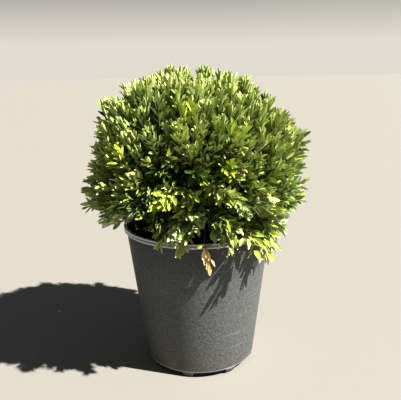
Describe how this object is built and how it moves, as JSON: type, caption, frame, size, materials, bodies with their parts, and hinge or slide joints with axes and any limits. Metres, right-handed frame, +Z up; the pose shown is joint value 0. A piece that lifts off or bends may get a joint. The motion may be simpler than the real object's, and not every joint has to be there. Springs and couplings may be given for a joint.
{
  "type": "potted box topiary ball",
  "caption": "Clipped box shrub grown as a leafy ball on a short trunk, standing in a round moulded nursery pot filled with bark mix.",
  "frame": {"origin": "The centre of the pot's flat underside, which the plant stands on.", "axes": "+Z is up along the pot's axis and the trunk. The side seen in the picture faces -Y, and +X is to its right."},
  "size_m": [0.44, 0.4328, 0.5862],
  "materials": {
    "pot": "matte",
    "potting_soil": "matte",
    "bark": "matte",
    "foliage": "satin",
    "dry_leaf": "matte"
  },
  "bodies": {
    "root": {"pot": "pot", "potting_soil": "potting_soil", "trunk": "bark", "crown_bough": "bark", "shoulder_1_bough": "bark", "shoulder_2_bough": "bark", "shoulder_3_bough": "bark", "shoulder_4_bough": "bark", "shoulder_5_bough": "bark", "side_1_bough": "bark", "side_2_bough": "bark", "side_3_bough": "bark", "side_4_bough": "bark", "side_5_bough": "bark", "side_6_bough": "bark", "skirt_1_bough": "bark", "skirt_2_bough": "bark", "skirt_3_bough": "bark", "skirt_4_bough": "bark", "skirt_5_bough": "bark", "skirt_6_bough": "bark", "low_front_shoot": "bark", "crown_leaves": "foliage", "shoulder_1_leaves": "foliage", "shoulder_2_leaves": "foliage", "shoulder_3_leaves": "foliage", "shoulder_4_leaves": "foliage", "shoulder_5_leaves": "foliage", "side_1_leaves": "foliage", "side_2_leaves": "foliage", "side_3_leaves": "foliage", "side_4_leaves": "foliage", "side_5_leaves": "foliage", "side_6_leaves": "foliage", "skirt_1_leaves": "foliage", "skirt_2_leaves": "foliage", "skirt_3_leaves": "foliage", "skirt_4_leaves": "foliage", "skirt_5_leaves": "foliage", "skirt_6_leaves": "foliage", "withered_sprig": "dry_leaf"}
  },
  "joints": []
}
